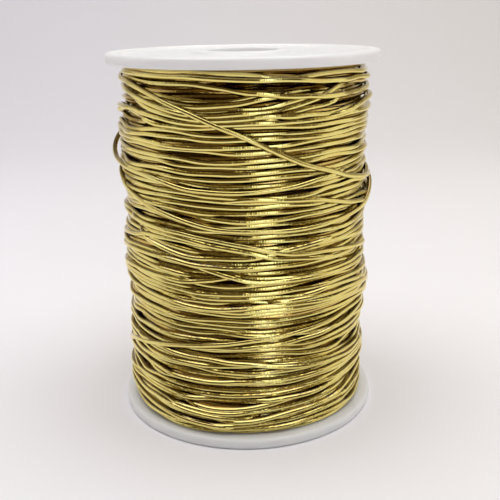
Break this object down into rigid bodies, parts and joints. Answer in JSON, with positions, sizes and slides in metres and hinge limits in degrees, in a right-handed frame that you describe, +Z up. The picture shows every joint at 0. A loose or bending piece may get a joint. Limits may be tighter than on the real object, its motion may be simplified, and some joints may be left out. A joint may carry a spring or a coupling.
{
  "type": "elastic cord wound on a plastic reel",
  "caption": "Gold metallic elastic cord wound unevenly on a white plastic reel with raised-rim flanges and a spindle bore, standing on its lower flange.",
  "frame": {"origin": "middle of the lower flange's foot, on the surface that the reel stands on", "axes": "+Z up along the reel's axis, -Y towards the side shown in the picture, +X to that view's right"},
  "size_m": [0.064, 0.064, 0.0874],
  "materials": {
    "gold_cord": "metallic foil wrap, satin to glossy",
    "reel_plastic": "moulded, softly glossy, slightly translucent white",
    "tube_plastic": "plain moulded white"
  },
  "bodies": {
    "root": {"winding": "gold_cord", "flange_bottom": "reel_plastic", "flange_top": "reel_plastic", "core_tube": "tube_plastic"}
  },
  "joints": []
}
